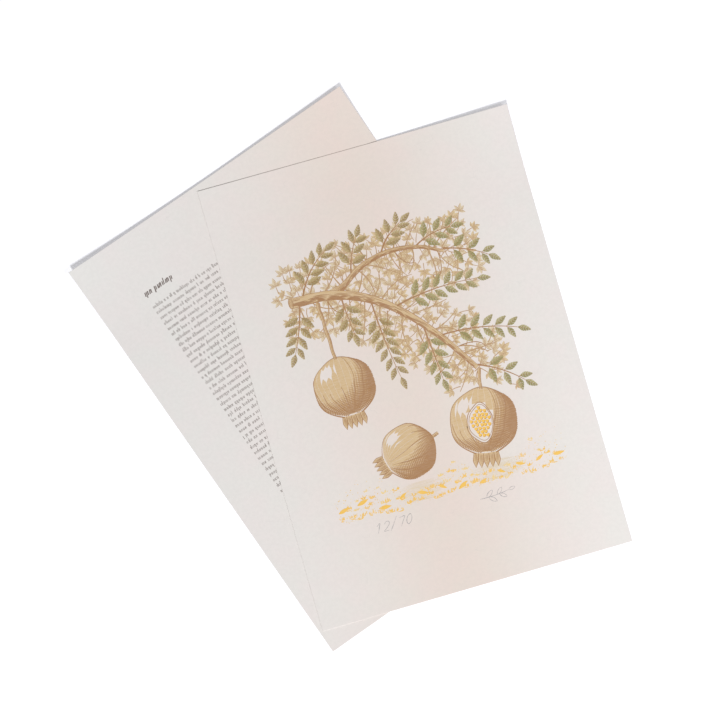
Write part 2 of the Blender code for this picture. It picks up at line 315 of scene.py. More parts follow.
def paper_colour(tree, grain):
    """Paper with a streak of painted warm light along it, faintly clouded, with a few darker stray fibres.
    """
    # Painted warm light along the streak, painted darker towards the foot as shade
    warm = mix_colour(tree, grain["Towards Foot"], PAPER * PAINTED_LIGHT_TOP, PAPER * PAINTED_LIGHT_FOOT)
    colour = mix_colour(tree, grain["Painted Light"], PAPER, warm)
    clouds = mix_colour(tree, ramp(tree, grain["Cloud"], *NOISE_RANGE), PINK_CLOUD, GREEN_CLOUD)
    colour = mix_colour(tree, 1.0, colour, clouds, "MULTIPLY")
    mottled = calc(tree, "MULTIPLY", grain["Mottle"], MOTTLE_SHADE)
    shade = plus_share(tree, mottled, grain["Fibre"], FIBRE_SHADE)
    return mix_colour(tree, shade, colour, PAPER * SHADED_PAPER)


def finish_surface(tree, colour, height, roughness, gloss):
    """The shader's colour, roughness and gloss, with a grain that follows a height."""
    bump = node(tree, "ShaderNodeBump", {"Height": height, "Strength": 1.0, "Distance": GRAIN_DEPTH})
    shader = tree.nodes["Principled BSDF"].inputs
    feed(tree, shader, {"Base Color": colour, "Roughness": roughness, "Specular IOR Level": gloss,
                        "Normal": bump.outputs["Normal"]})
    return shader


def paper_material(name):
    material, tree, _, grain = new_material(name)
    smoother, rougher = PAPER_ROUGHNESS
    roughness = map_range(tree, grain["Height"], {"To Min": smoother, "To Max": rougher})
    shader = finish_surface(tree, paper_colour(tree, grain), grain["Height"], roughness, PAPER_GLOSS)
    shader["Sheen Weight"].default_value = PAPER_SHEEN
    return material


@functools.cache
def ink_material(name):
    """An ink that leaves specks of the paper bare, lighter and darker where the film is uneven."""
    colour, _, coverage, wood_grain, inked_roughness = INKS[name]
    material, tree, place, grain = new_material(name)
    inputs = {"Place": place, "Coverage": coverage, "Wood Grain": wood_grain}
    film = node(tree, "ShaderNodeGroup", inputs, node_tree=INK_LAY).outputs
    thin = mix_colour(tree, THIN_FILM, colour, PAPER)
    ink = mix_colour(tree, film["Density"], colour * (1.0 - THIN_FILM / 3), thin)
    bare = mix_colour(tree, INK_HAZE, paper_colour(tree, grain), colour)
    roughness = map_range(tree, film["Inked"], {"To Min": BARE_ROUGHNESS, "To Max": inked_roughness})
    height = plus_share(tree, grain["Height"], film["Inked"], FILM_BUMP)
    finish_surface(tree, mix_colour(tree, film["Inked"], bare, ink), height, roughness, INK_GLOSS)
    return material


# Lines and outlines in a sheet's plane

def way(degrees):
    return np.array((math.cos(math.radians(degrees)), math.sin(math.radians(degrees))))


def ways(radians):
    """The unit direction at each of several angles."""
    return np.column_stack((np.cos(radians), np.sin(radians)))


def left_of(vectors):
    return np.stack((-vectors[..., 1], vectors[..., 0]), axis=-1)


def mix(low, high, share):
    return low + (high - low) * share


def evenly(count):
    """Shares from 0 to 1 at even distances."""
    return np.linspace(0.0, 1.0, count)


def full_turn(count):
    """Angles at even distances all the way round."""
    return np.linspace(0.0, math.tau, count + 1)[:-1]


def headings(path):
    """The unit direction of a path at each of its places."""
    steps = np.gradient(path, axis=0)
    return steps / np.linalg.norm(steps, axis=1)[:, None]


def read_off(path, marks, own_marks):
    """Places on a path at some marks, given the marks of the path's own places."""
    return np.column_stack([np.interp(marks, own_marks, path[:, axis]) for axis in (0, 1)])


def even(path, stations):
    """The same path with its places evenly spaced."""
    run = np.concatenate(([0.0], np.cumsum(np.linalg.norm(np.diff(path, axis=0), axis=1))))
    return read_off(path, np.linspace(0.0, run[-1], stations), run)


def spline(points, steps):
    """A Catmull-Rom curve through the points, with a number of steps between two."""
    nodes = np.asarray(points, float)
    nodes = np.vstack((2 * nodes[0] - nodes[1], nodes, 2 * nodes[-1] - nodes[-2]))
    t = (np.arange(steps) / steps)[:, None]
    path = []
    for a, b, c, d in zip(nodes, nodes[1:], nodes[2:], nodes[3:]):
        pull = (c - a) * t + (2 * a - 5 * b + 4 * c - d) * t ** 2 + (3 * b - a - 3 * c + d) * t ** 3
        path.append(b + pull / 2)
    return np.vstack(path + [nodes[-2:-1]])


def smooth(points, stations):
    return even(spline(points, 12), stations)


def closed(points, stations):
    """A smooth closed outline through the points."""
    points = np.asarray(points, float)
    around = np.vstack((points[-2:], points, points[:3]))
    path = spline(around, 12)[24:24 + 12 * len(points) + 1]
    return even(path, stations + 1)[:-1]


def arc(base, heading, length, bend, shares):
    """Places along an arc that turns by bend degrees over its length."""
    half_turn = np.radians(bend * shares / 2)
    chord = length * shares * np.sinc(half_turn / math.pi)
    return base + ways(np.radians(heading + bend * shares / 2)) * chord[:, None]


def swell(stations, tip=0.15, peak=0.5):
    """A cut line's width along its length: thin at both ends, widest at its peak."""
    share = evenly(stations) ** (math.log(0.5) / math.log(peak))
    return tip + (1.0 - tip) * np.sin(math.pi * share)


def tremble(chance, stations, amount, every=4):
    """Slow unevenness of a hand-cut line, around 1."""
    knots = chance.uniform(1.0 - amount, 1.0 + amount, stations // every + 2)
    return np.interp(np.arange(stations) / every, np.arange(len(knots)), knots)


def enclosed_area(outline):
    following = np.roll(outline, -1, axis=0)
    return (outline[:, 0] * following[:, 1] - outline[:, 1] * following[:, 0]).sum() / 2


def inside(places, outline):
    """Which places lie inside an outline."""
    found = np.zeros(len(places), bool)
    for (x0, y0), (x1, y1) in zip(outline, np.roll(outline, -1, axis=0)):
        crosses = (places[:, 1] < y0) != (places[:, 1] < y1)
        reach = x0 + (places[:, 1] - y0) * (x1 - x0) / (y1 - y0 if y1 != y0 else 1.0)
        found ^= crosses & (places[:, 0] < reach)
    return found


def stretches(mask):
    """The runs of more than two places where a mask holds."""
    mask = np.concatenate(([False], mask, [False]))
    ends = np.flatnonzero(mask[1:] != mask[:-1])
    return [slice(first, last) for first, last in zip(ends[::2], ends[1::2]) if last - first > 2]


# Sheets

Sheet = namedtuple("Sheet", "corner turn width height face lift")


def edge_rise(share, left, low, right, low_place, power):
    """How high a top edge stands at shares of its width."""
    share = np.clip(share, 0.0, 1.0)
    on_left = mix(low, left, np.clip(1.0 - share / low_place, 0.0, 1.0) ** 2)
    on_right = mix(low, right, np.clip((share - low_place) / (1.0 - low_place), 0.0, 1.0) ** power)
    return np.where(share < low_place, on_left, on_right)


def curl(distance, depth):
    """1 at the top edge, easing to 0 where the sheet lies flat."""
    return np.clip(1.0 - distance / depth, 0.0, 1.0) ** 2


def text_sheet():
    low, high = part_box("text_sheet")
    sine, cosine = math.sin(math.radians(TEXT_TURN)), math.cos(math.radians(TEXT_TURN))
    across, up = high.x - low.x, high.y - low.y
    width = (across * cosine - up * sine) / (cosine ** 2 - sine ** 2)
    height = (up * cosine - across * sine) / (cosine ** 2 - sine ** 2)

    def lift(u, v):
        return edge_rise(u / width, *TEXT_CURL) * curl(height - v, TEXT_CURL_DEPTH)

    corner = np.array((low.x + height * sine, low.y))
    return Sheet(corner, TEXT_TURN, width, height, PAPER_THICKNESS, lift)


def print_sheet(text):
    """The print, whose own curl adds to that of the text sheet below it."""
    low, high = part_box("print_sheet")
    width, height = high.x - low.x, high.y - low.y
    corner = np.array((low.x, low.y))
    across = way(text.turn)

    def lift(u, v):
        place = np.stack((u, v), axis=-1) + corner - text.corner
        below = text.lift(place @ across, place @ left_of(across))
        return edge_rise(u / width, *PRINT_CURL) * curl(height - v, PRINT_CURL_DEPTH) + below

    return Sheet(corner, 0.0, width, height, 2 * PAPER_THICKNESS + SHEET_GAP - SETTLED, lift)


def lay(sheet, places, heights):
    """World places of points on a sheet, at heights over its upper face."""
    u, v = places[:, :1], places[:, 1:2]
    across = way(sheet.turn)
    ground = sheet.corner + u * across + v * left_of(across)
    return np.column_stack((ground, sheet.face + sheet.lift(u[:, 0], v[:, 0]) + heights))


def raise_faces(shape, height):
    """Gives flat faces a thickness, closed all round."""
    raised = bmesh.ops.extrude_face_region(shape, geom=shape.faces[:])["geom"]
    upper = [item for item in raised if isinstance(item, bmesh.types.BMVert)]
    bmesh.ops.translate(shape, vec=(0.0, 0.0, height), verts=upper)
    bmesh.ops.recalc_face_normals(shape, faces=shape.faces[:])


def mesh_of(name, shape):
    mesh = bpy.data.meshes.new(name)
    shape.to_mesh(mesh)
    shape.free()
    return mesh


def put_in_scene(name, data):
    item = bpy.data.objects.new(name, data)
    bpy.context.scene.collection.objects.link(item)
    return item


def finish_piece(name, mesh, material, slot, *nodes):
    mesh.materials.append(material)
    piece = put_in_scene(name, mesh)
    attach(piece, "root")
    if nodes:
        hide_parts(*nodes)


def paper_piece(name, sheet, material, slot, replaced):
    """A sheet with cut, slightly rounded edges, curled as its solid is."""
    def cuts(length):
        inner = np.linspace(EDGE_STRIP, length - EDGE_STRIP, round(length / PAPER_CELL) + 1)
        return np.concatenate(([0.0], inner, [length]))

    across, up = cuts(sheet.width), cuts(sheet.height)
    shape = bmesh.new()
    bmesh.ops.create_grid(shape, x_segments=len(across) - 1, y_segments=len(up) - 1, size=0.5)
    for vertex in shape.verts:
        column = round((vertex.co.x + 0.5) * (len(across) - 1))
        row = round((vertex.co.y + 0.5) * (len(up) - 1))
        vertex.co = (across[column], up[row], -PAPER_THICKNESS)
    raise_faces(shape, PAPER_THICKNESS)
    rim = [edge for edge in shape.edges if edge.calc_face_angle() > math.radians(45)]
    bmesh.ops.bevel(shape, geom=rim, offset=EDGE_ROUND, segments=3, affect="EDGES", profile=0.5, material=-1)
    mesh = mesh_of(name, shape)
    flat = np.empty(len(mesh.vertices) * 3)
    mesh.vertices.foreach_get("co", flat)
    flat = flat.reshape(-1, 3)
    mesh.vertices.foreach_set("co", lay(sheet, flat[:, :2], flat[:, 2]).ravel())
    mesh.shade_smooth()
    finish_piece(name, mesh, material, slot, replaced)


# Ink

def raised_film(shape):
    """The corners and faces of a closed film, 1 thick, over flat faces."""
    raise_faces(shape, 1.0)
    shape.verts.index_update()
    corners = np.array([vertex.co for vertex in shape.verts])
    faces = [tuple(vertex.index for vertex in face.verts) for face in shape.faces]
    shape.free()
    return corners, faces


@functools.cache
def strip_pattern(stations):
    """A closed strip: which station and side each corner belongs to, and which are on top."""
    shape = bmesh.new()
    bmesh.ops.create_grid(shape, x_segments=stations - 1, y_segments=1, size=0.5)
    corners, faces = raised_film(shape)
    station = np.rint((corners[:, 0] + 0.5) * (stations - 1)).astype(int)
    return station, corners[:, 1] > 0.0, corners[:, 2] > 0.5, faces


@functools.cache
def patch_pattern(count):
    """A closed patch: which point of the outline each corner belongs to, and which are on top."""
    shape = bmesh.new()
    bmesh.ops.create_circle(shape, cap_ends=True, segments=count, radius=1.0)
    corners, faces = raised_film(shape)
    turn = np.arctan2(corners[:, 1], corners[:, 0]) / math.tau
    return np.rint(turn * count).astype(int) % count, corners[:, 2] > 0.5, faces


class Ink:
    """The marks of one ink on one sheet, gathered into one piece."""

    taken = {}

    def __init__(self, sheet, film, name):
        self.sheet, self.film, self.name = sheet, film, name
        self.corners, self.faces, self.count = [], [], 0

    def free_step(self, places):
        """The lowest step of the film that no mark near these places has taken, in any ink."""
        cells = set()
        for shift in ((0.0, 0.0), (0.5, 0.0), (0.0, 0.5), (0.5, 0.5)):
            grid = np.floor(places / TOUCH + shift).astype(int).tolist()
            cells.update((self.sheet.turn, self.film, shift, *cell) for cell in grid)
        used = 0
        for cell in cells:
            used |= self.taken.get(cell, 0)
        step = (~used & (used + 1)).bit_length() - 1
        if step >= FILM_STEPS:
            step = len(self.corners) % FILM_STEPS
        for cell in cells:
            self.taken[cell] = self.taken.get(cell, 0) | 1 << step
        return step

    def add(self, places, on_top, faces):
        film = self.film + self.free_step(places[on_top]) * FILM_STEP
        self.corners.append(lay(self.sheet, places, np.where(on_top, film, -SUNK)))
        self.faces += [tuple(corner + self.count for corner in face) for face in faces]
        self.count += len(places)

    def band(self, left, right):
        """The strip between two paths, the first on the left of the second."""
        station, on_left, on_top, faces = strip_pattern(len(left))
        if enclosed_area(np.vstack((right, left[::-1]))) < 0.0:
            left, right = right, left
        self.add(np.where(on_left[:, None], left[station], right[station]), on_top, faces)

    def stroke(self, path, widths):
        aside = left_of(headings(path)) * (np.broadcast_to(widths, len(path)) / 2)[:, None]
        self.band(path + aside, path - aside)

    def broken_stroke(self, path, widths, least):
        """The stretches of a stroke that are wider than least."""
        for run in stretches(widths > least):
            self.stroke(path[run], widths[run])

    def patch(self, outline):
        corner, on_top, faces = patch_pattern(len(outline))
        if enclosed_area(outline) < 0.0:
            outline = outline[::-1]
        self.add(outline[corner], on_top, faces)

    def piece(self, name, *nodes):
        mesh = bpy.data.meshes.new(name)
        mesh.from_pydata(np.concatenate(self.corners), [], self.faces)
        finish_piece(name, mesh, ink_material(self.name), INKS[self.name][1], *nodes)


# Limbs

# Rows of bark lines: share of the width from the middle, thickness, share of the lines that are cut
BARK_ROWS = ((0.38, 0.05, 0.5), (0.24, 0.08, 0.6), (0.09, 0.10, 0.75), (-0.06, 0.14, 0.85),
             (-0.20, 0.18, 0.95), (-0.36, 0.27, 1.0))
BARK_LINE, BARK_GAP, BARK_WAVE = (9 * MM, 22 * MM), 1.0 * MM, 7 * MM
LIMB_OUTLINE = (0.55 * MM, 1.05 * MM)
LIMB_STATIONS = 150

# Growth rings on the sawn end: share of its size, and the line's width
RINGS = ((1.0, 0.7 * MM), (0.66, 0.35 * MM), (0.34, 0.35 * MM))

# Where the upper limb grows out of the lower one, and how it widens towards that place
UPPER_LIMB_FOOT, FOOT_FLARE, FOOT_REACH = (0.1132, 0.3478), 0.75, 9 * MM


def limb_path(limb, stations=LIMB_STATIONS):
    return smooth(LIMBS[limb][0], stations)


def limb_widths(limb):
    return mix(*LIMBS[limb][1:], evenly(LIMB_STATIONS))


def on_lower_limb(places):
    """Which places lie on the lower limb."""
    away = np.linalg.norm(places[:, None] - limb_path(0), axis=2)
    return away.min(axis=1) < limb_widths(0)[away.argmin(axis=1)] / 2


def draw_limb(limb, tone, lines, chance):
    """A limb: a flat tone, rows of bark lines that grow heavier underneath, and its two contours."""
    def cut(line, thickness):
        hidden = on_lower_limb(line) if limb else np.zeros(len(line), bool)
        lines.broken_stroke(line, np.where(hidden, 0.0, thickness), 0.0)

    stations = LIMB_STATIONS
    path, widths = limb_path(limb), limb_widths(limb)
    if limb:
        path = smooth((UPPER_LIMB_FOOT, *LIMBS[limb][0]), stations)
        run = np.linalg.norm(path - path[0], axis=1)
        widths = widths * (1.0 + FOOT_FLARE * np.exp(-(run / FOOT_REACH) ** 2))
    up = left_of(headings(path))
    upper = path + up * (widths / 2 * tremble(chance, stations, 0.05, 7))[:, None]
    lower = path - up * (widths / 2 * tremble(chance, stations, 0.05, 7))[:, None]
    tone.band(upper, lower)
    cut(upper, LIMB_OUTLINE[0] * tremble(chance, stations, 0.45) * swell(stations, 0.5))
    cut(lower, LIMB_OUTLINE[1] * tremble(chance, stations, 0.35) * swell(stations, 0.6, 0.4))
    length = np.linalg.norm(np.diff(path, axis=0), axis=1).sum()
    for offset, weight, kept in BARK_ROWS:
        start = chance.uniform(0.0, 0.03)
        while start < 0.97:
            end = min(start + chance.uniform(*BARK_LINE) / length, 0.99)
            shares = np.linspace(start, end, max(4, round((end - start) * stations)))
            first = read_off(path, shares, evenly(stations))
            wide = np.interp(shares, evenly(stations), widths)
            wave = 0.035 * np.sin(shares * length / BARK_WAVE + offset * 40)
            line = first + left_of(headings(first)) * (wide * (offset + wave))[:, None]
            if chance.random() < kept:
                cut(line, wide * weight * swell(len(shares), 0.1, 0.4) * tremble(chance, len(shares), 0.3))
            start = end + BARK_GAP / length


def draw_sawn_end(limb, tone, lines):
    """The end of a limb where it was cut: an oval face with growth rings."""
    path, thick = limb_path(limb), LIMBS[limb][1]
    ahead = headings(path)[0]
    turn = full_turn(32)
    for ring, width in RINGS:
        oval = path[0] + np.outer(np.cos(turn), left_of(ahead)) * (thick / 2 * ring)
        oval = oval + np.outer(np.sin(turn), -ahead) * (thick / 4.5 * ring)
        if ring == 1.0:
            tone.patch(oval)
        lines.stroke(np.vstack((oval, oval[:2])), width)


# Sprays

LEAF_CELLS, CELL_SPAN, LEAF_BEND = 5, (0.05, 0.93), 14
VEIN_SLANT, VEIN_CUT, RIB_CUT = 0.17, 0.17 * MM, 0.40 * MM
SHADE_VEINS, SHADE_VEIN_REACH, SHADE_VEIN_LEAST = (0.30, 0.72), 0.62, 0.25


def spray_foot(limb, along, side, lean):
    """Where a spray starts, clear of its limb's edge, and the way it heads, in degrees."""
    points, thick, thin = LIMBS[limb]
    path = spline(points, LIMB_STEPS)
    index = round(along * (len(path) - 1))
    ahead = path[min(index + 1, len(path) - 1)] - path[max(index - 1, 0)]
    ahead /= np.linalg.norm(ahead)
    clear = mix(thick, thin, along) / 2 + CUT_GAP
    heading = math.degrees(math.atan2(*ahead[::-1])) + side * lean
    return path[index] + left_of(ahead) * (side * clear), heading


def spray_leaves(base, heading, length, bend, pairs):
    """The foot, direction and size of each leaf: pairs along the twig and one at its tip."""
    for pair in range(pairs):
        share = mix(FIRST_PAIR, LAST_PAIR, pair / (pairs - 1))
        middle = arc(base, heading, length, bend, np.array([share]))[0]
        angle = heading + bend * share
        for side in (-1, 1):
            foot = middle + left_of(way(angle)) * (side * mix(TWIG_THICK, TWIG_THIN, share) / 2)
            yield foot, angle + side * mix(FIRST_SPREAD, LAST_SPREAD, share), mix(1.0, LAST_LEAF, share)
    tip = arc(base, heading, length, bend, np.array([1.0]))[0]
    yield tip, heading + bend, TIP_LEAF


def leaf_plane(foot, angle, size, bend):
    """A function from shares along and across a leaf to places, with the leaf's rib bent a little."""
    def at(along, across):
        along = np.asarray(along, float)
        spine = arc(foot, angle, LEAF_LENGTH * size, bend, along)
        aside = left_of(ways(np.radians(angle + bend * along)))
        return spine + aside * (across * LEAF_WIDTH * size / 2)[:, None]
    return at


LEAF_SHAPE = spline(LEAF_PROFILE, 12)


def leaf_half_width(along):
    return np.interp(along, LEAF_SHAPE[:, 0], LEAF_SHAPE[:, 1])


def draw_leaf(foot, angle, size, light, dark, lines, chance):
    """A leaf in two halves, each cut into cells by its veins; the half away from the light is darker."""
    at = leaf_plane(foot, angle, size, chance.uniform(-LEAF_BEND, LEAF_BEND))
    rib = RIB_CUT / (LEAF_WIDTH * size)
    cut = VEIN_CUT / (LEAF_LENGTH * size)
    shaded = 1 if np.dot(left_of(way(angle)), PICTURE_LIGHT[:2]) < 0 else -1
    for side in (-1, 1):
        ink = dark if side == shaded else light
        for cell in range(LEAF_CELLS):
            inner = mix(*CELL_SPAN, np.array((cell, cell + 1)) / LEAF_CELLS) + (cut, -cut)
            outer = np.clip(inner + VEIN_SLANT * (1.15 - inner), 0.0, 1.0)
            edge = np.array((outer[0], outer.mean(), outer[1]))
            tooth = np.array((0.97, 1.05, 1.0)) * leaf_half_width(edge)
            half_way = (inner + outer) / 2 - 0.012
            half_across = leaf_half_width(outer) * 0.52
            along = (inner[0], half_way[0], *edge, half_way[1], inner[1])
            across = np.array((rib, half_across[0], *tooth, half_across[1], rib))
            ink.patch(at(along, np.maximum(across, rib) * side))
            for start in SHADE_VEINS if side != shaded else ():
                first, run = mix(*inner, start), evenly(5)
                reach = SHADE_VEIN_REACH * leaf_half_width(first + VEIN_SLANT * 0.6)
                if reach > SHADE_VEIN_LEAST:
                    vein = at(first + VEIN_SLANT * SHADE_VEIN_REACH * run, side * mix(rib, reach, run))
                    dark.stroke(vein, 0.42 * MM * swell(5, 0.2, 0.3) * size)
    run = np.linspace(-0.02, 0.90, 9)
    lines.stroke(at(run, np.zeros(9)), np.linspace(0.50, 0.20, 9) * MM * size)


def draw_spray(spray, light, dark, lines, chance):
    limb, along, side, lean, length, bend, pairs = spray
    base, heading = spray_foot(limb, along, side, lean)
    bend *= side
    twig = arc(base, heading, length, bend, np.linspace(-2.2 * MM / length, 1.0, 26))
    lines.stroke(twig, np.linspace(TWIG_THICK, TWIG_THIN * 0.7, 26) * tremble(chance, 26, 0.16) * 0.72)
    for foot, angle, size in spray_leaves(base, heading, length, bend, pairs):
        draw_leaf(foot, angle, size, light, dark, lines, chance)


# Pale foliage behind the sprays

STAR_PITCH, STAR_JITTER = 11.8 * MM, 3.4 * MM
STAR_REACH, STAR_FRAY = 46 * MM, (0.62, 1.08)
STAR_LEAVES = (-82, -41, 0, 41, 82)
STAR_SIZE, STAR_STALK = (0.38, 0.54), (7 * MM, 13 * MM)
PALE_EDGE = ((0.056, 0.148), (0.296, 0.404))
PALE_TWIGS, PALE_TWIG = (13, 8), (24 * MM, 42 * MM)
PALE_LINE, PALE_VEINS = 0.48 * MM, (0.18, 0.40)
GOLDEN_STARS = 0.42
FRUIT_MARGIN = 1.07


def clear_of_fruits(places, margin=FRUIT_MARGIN):
    return all(math.dist(place, middle) > radius * margin
               for place in places for middle, radius, _, _ in FRUITS)


def draw_pale_leaf(at, tone, lines, chance):
    """A small leaf: one flat tone, its rib, one edge and two veins on the half away from the light."""
    run = np.linspace(0.04, 0.97, 7)
    half = leaf_half_width(run) * chance.uniform(0.88, 1.06)
    side = chance.choice((-1, 1))
    tone.band(at(run, half), at(run, -half))
    lines.stroke(at(run[1:], half[1:] * side), PALE_LINE * 1.15 * swell(6, 0.3, chance.uniform(0.3, 0.7)))
    lines.stroke(at(run[:5], np.zeros(5)), np.linspace(1.0, 0.45, 5) * PALE_LINE)
    share = evenly(3)
    for vein in PALE_VEINS:
        lines.stroke(at(vein + 0.16 * share, side * 0.75 * share), PALE_LINE * np.array((0.9, 0.7, 0.3)))


def draw_star(foot, heading, inks, lines, chance):
    """Five small leaves that spread from the end of a thin bent stalk."""
    stalk, bend = chance.uniform(*STAR_STALK), chance.uniform(-50, 50)
    path = arc(foot, heading + 180 + bend / 2, stalk, -bend, evenly(7))
    size = chance.uniform(*STAR_SIZE)
    leaves = [(heading + angle + chance.uniform(-9, 9), size * (1.0 - abs(angle) / 330))
              for angle in STAR_LEAVES]
    tips = [foot + way(angle) * LEAF_LENGTH * share for angle, share in leaves]
    if not clear_of_fruits((*tips, *path)):
        return
    lines.stroke(path, np.linspace(1.4, 2.0, 7) * PALE_LINE * tremble(chance, 7, 0.2))
    tone = inks[int(chance.random() < GOLDEN_STARS)]
    for angle, share in leaves:
        draw_pale_leaf(leaf_plane(foot, angle, share, chance.uniform(-26, 26)), tone, lines, chance)


def draw_pale_foliage(inks, lines, chance):
    """Stars of leaves at even distances around the limbs, ragged towards the outside, and bent twigs."""
    limbs = np.vstack([limb_path(limb, 60) for limb in range(len(LIMBS))])
    for limb, count in enumerate(PALE_TWIGS):
        for number in range(2 * count):
            along, side = (number // 2 + chance.uniform(0.1, 0.9)) / count, 1 - 2 * (number % 2)
            base, heading = spray_foot(limb, along, side, chance.uniform(40, 85))
            length, bend = chance.uniform(*PALE_TWIG), chance.uniform(-70, 70)
            twig = arc(base, heading, length, bend, np.linspace(-0.06, 1.0, 16))
            if clear_of_fruits(twig):
                lines.stroke(twig, np.linspace(2.9, 1.5, 16) * PALE_LINE * tremble(chance, 16, 0.25))
    (left, low), (right, high) = PALE_EDGE
    for row, v in enumerate(np.arange(low, high, STAR_PITCH * 0.87)):
        for u in np.arange(left + row % 2 * STAR_PITCH / 2, right, STAR_PITCH):
            place = np.array((u, v)) + chance.uniform(-STAR_JITTER, STAR_JITTER, 2)
            away = place - limbs
            nearest = away[np.argmin(np.linalg.norm(away, axis=1))]
            if np.linalg.norm(nearest) < STAR_REACH * chance.uniform(*STAR_FRAY):
                heading = math.degrees(math.atan2(nearest[1], nearest[0])) + chance.uniform(-38, 38)
                draw_star(place, heading, inks, lines, chance)


# Fruits

GLOBE_TILT = math.radians(22)
RIND_GORES, SHADE_GORES, GORE_CUT = 15, 30, 0.22 * MM
RIND_LIGHT, SHADE_LIGHT = (0.93, 0.985), (0.22, 0.66)
HATCH_PITCH, HATCH_LEAST = 2.15 * MM, 0.20 * MM
FURROWS = (-1.28, -0.94, -0.55, -0.12, 0.36, 0.78, 1.14)
OPENING = ((-0.44, 0.10), (-0.30, 0.40), (0.00, 0.56), (0.20, 0.38), (0.26, 0.02), (0.14, -0.34),
           (-0.10, -0.50), (-0.36, -0.24))
RIMS = ((1.12, 0.80 * MM), (0.99, 0.50 * MM))
SEED_PITCH, SEED_JITTER, SEED_REACH = 4.4 * MM, 0.012, 0.84

# Lines along a stalk: share of its width from the middle, and the line's width
STALK_LINES = ((-0.42, 0.85 * MM), (0.42, 0.45 * MM), (-0.08, 0.50 * MM))


class Globe:
    """A fruit's round face, seen a little from its crown's side."""

    def __init__(self, middle, radius, crown, stalk):
        self.middle, self.radius, self.stalk = np.array(middle), radius, stalk
        self.axis, self.across = way(crown), left_of(way(crown))

    def on_sheet(self, across, along):
        """Vectors on the sheet from numbers across and along the axis."""
        return np.multiply.outer(across, self.across) + np.multiply.outer(along, self.axis)

    def plane(self, across, along):
        """Places from shares of the radius across and along the axis, with the fruit's slight lobes."""
        lobe = 1.0 + FRUIT_LOBE_DEPTH * np.cos(FRUIT_LOBES * np.arctan2(across, along))
        return self.middle + self.on_sheet(across * lobe, along * lobe) * self.radius

    def turned(self, latitude, longitude):
        """Shares of the radius across, along and towards the eye, for places on the round."""
        across = np.cos(latitude) * np.sin(longitude)
        ahead = np.cos(latitude) * np.cos(longitude)
        along = np.sin(latitude) * math.cos(GLOBE_TILT) - ahead * math.sin(GLOBE_TILT)
        out = np.sin(latitude) * math.sin(GLOBE_TILT) + ahead * math.cos(GLOBE_TILT)
        return across, along, out

    def light(self, across, along, out):
        """How squarely the picture's light falls there: 1 facing it, below 0 turned away."""
        return self.on_sheet(across, along) @ PICTURE_LIGHT[:2] + out * PICTURE_LIGHT[2]


def eased(value, low, high):
    share = np.clip((value - low) / (high - low), 0.0, 1.0)
    return share * share * (3.0 - 2.0 * share)


def draw_gores(globe, ink, count, bright, opening):
    """A tone in strips along the round, which taper off where the light grows and at the split."""
    edges = np.linspace(-math.pi / 2, math.pi / 2, count + 1)
    latitude = np.linspace(-1.30, 1.52, 70)
    for first, last in zip(edges, edges[1:]):
        middle = globe.turned(latitude, (first + last) / 2)
        fill = 1.0 - eased(globe.light(*middle), *bright)
        if opening is not None:
            fill = fill * ~inside(np.column_stack(middle[:2]), opening * 1.12)
        left, right = (np.column_stack(globe.turned(latitude, longitude)[:2]) for longitude in (first, last))
        centre, half = (left + right) / 2, (right - left) / 2
        span = np.linalg.norm(half, axis=1)
        keep = fill * np.clip(1.0 - GORE_CUT / globe.radius / np.maximum(span, 1e-6) / 2, 0.0, 1.0)
        for run in stretches(keep * span > 0.005):
            aside = half[run] * keep[run, None]
            ink.band(globe.plane(*(centre[run] - aside).T), globe.plane(*(centre[run] + aside).T))


def draw_hatching(globe, lines, furrows, opening, chance):
    """Lines around the round that swell and close up in the shade, and furrows along it."""
    def cut(ink, places, widths, hidden):
        if opening is not None:
            hidden = hidden | inside(np.column_stack(places), opening * 1.16)
        ink.broken_stroke(globe.plane(*places), np.where(hidden, 0.0, widths), HATCH_LEAST)

    longitude = np.linspace(-1.62, 1.62, 64)
    for latitude in np.linspace(-1.45, 1.40, round(math.pi * globe.radius / HATCH_PITCH)):
        across, along, out = globe.turned(np.full(64, latitude), longitude)
        light = globe.light(across, along, out)
        pitch = HATCH_PITCH * np.sqrt(np.clip(1.0 - along ** 2, 0.05, 1.0))
        widths = pitch * 0.88 * (1.0 - eased(light, -0.20, 0.74)) * tremble(chance, 64, 0.16, 3)
        cut(lines, (across, along), widths, (out < 0.05) | (light > chance.uniform(0.58, 0.80)))
    latitude = np.linspace(-1.34, 1.44, 54)
    for longitude in FURROWS:
        wave = 0.05 * np.sin(latitude * 2.6 + longitude * 5)
        across, along, out = globe.turned(latitude, longitude + wave)
        shade = 1.0 - eased(globe.light(across, along, out), -0.10, 0.95)
        widths = (0.34 * MM + 1.35 * MM * shade) * swell(54, 0.12, 0.55) * tremble(chance, 54, 0.25)
        cut(furrows, (across, along), widths, (out < 0.03) | (shade < 0.10))


def draw_fruit_outline(globe, lines, chance):
    turn = np.linspace(0.30, math.tau - 0.30, 120)
    across, along = np.sin(turn), np.cos(turn)
    facing = globe.on_sheet(across, along)
    dark = 0.5 - 0.5 * facing @ PICTURE_LIGHT[:2] / np.linalg.norm(PICTURE_LIGHT[:2])
    widths = mix(0.45 * MM, 1.5 * MM, dark) * tremble(chance, 120, 0.2)
    lines.stroke(globe.plane(across * 0.985, along * 0.985), widths)


